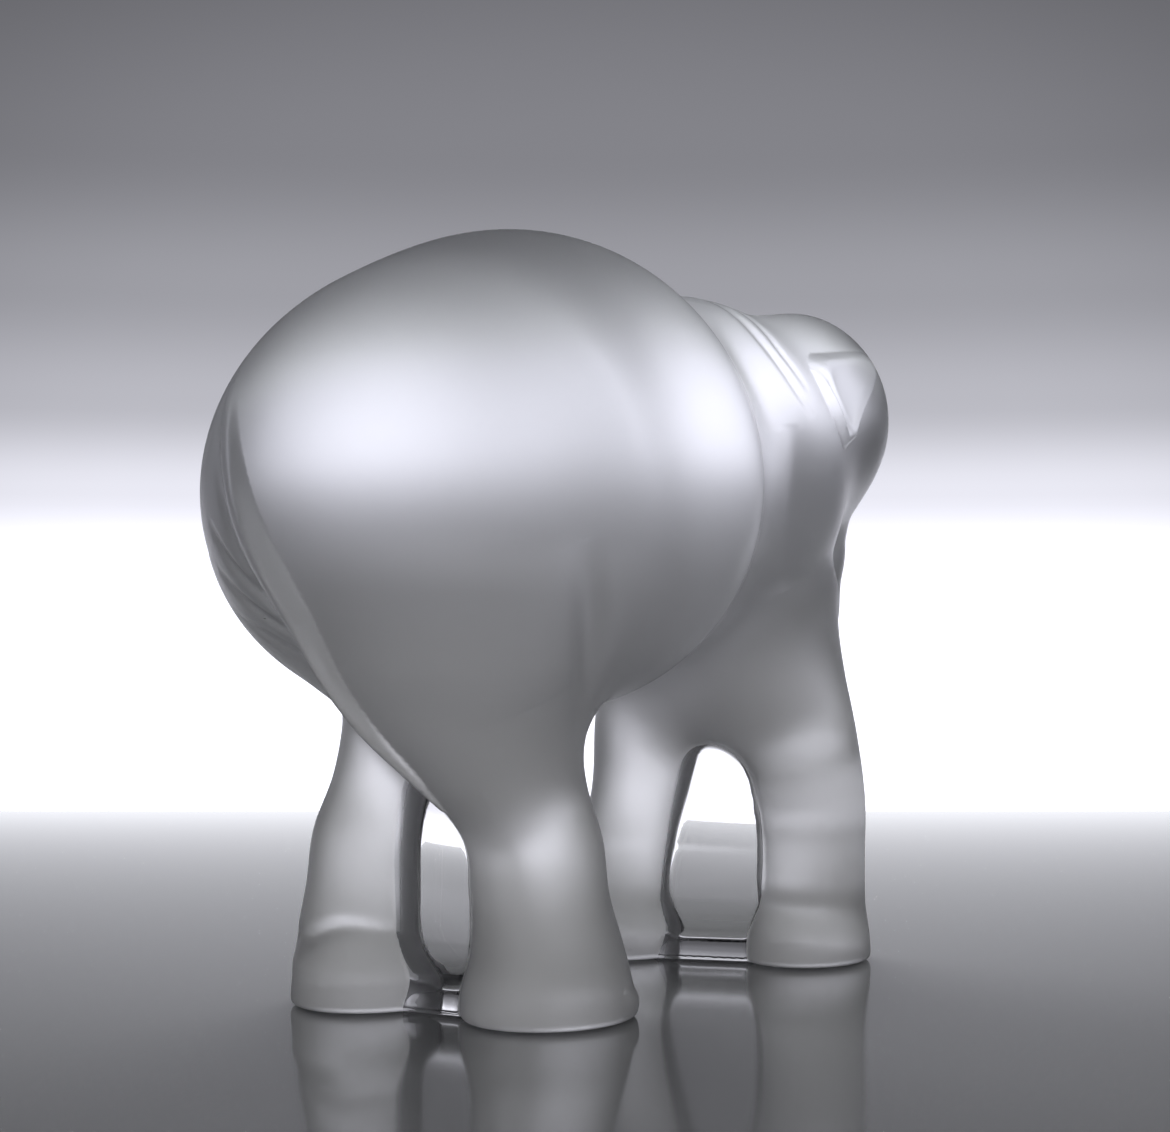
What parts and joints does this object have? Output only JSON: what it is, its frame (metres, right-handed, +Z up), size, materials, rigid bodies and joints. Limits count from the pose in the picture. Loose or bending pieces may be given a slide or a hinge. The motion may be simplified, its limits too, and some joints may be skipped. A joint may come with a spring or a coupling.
{
  "type": "crystal elephant figurine",
  "caption": "Solid frosted crystal elephant, walking with its trunk curled in, with clear polished webs between the legs of each pair.",
  "frame": {"origin": "middle of the figure's footprint box on the surface it stands on", "axes": "+Z up; the elephant walks towards -Y, so +Y runs from head to rump; its right flank faces -X"},
  "size_m": [0.102, 0.1689, 0.1428],
  "materials": {
    "frosted_crystal": "satin",
    "clear_crystal": "polished"
  },
  "bodies": {
    "root": {"torso": "frosted_crystal", "head": "frosted_crystal", "trunk": "frosted_crystal", "ear_right": "frosted_crystal", "ear_left": "frosted_crystal", "tail": "frosted_crystal", "leg_rear_right": "frosted_crystal", "leg_rear_left": "frosted_crystal", "leg_front_right": "frosted_crystal", "leg_front_left": "frosted_crystal", "web_rear": "clear_crystal", "web_front": "clear_crystal"}
  },
  "joints": []
}
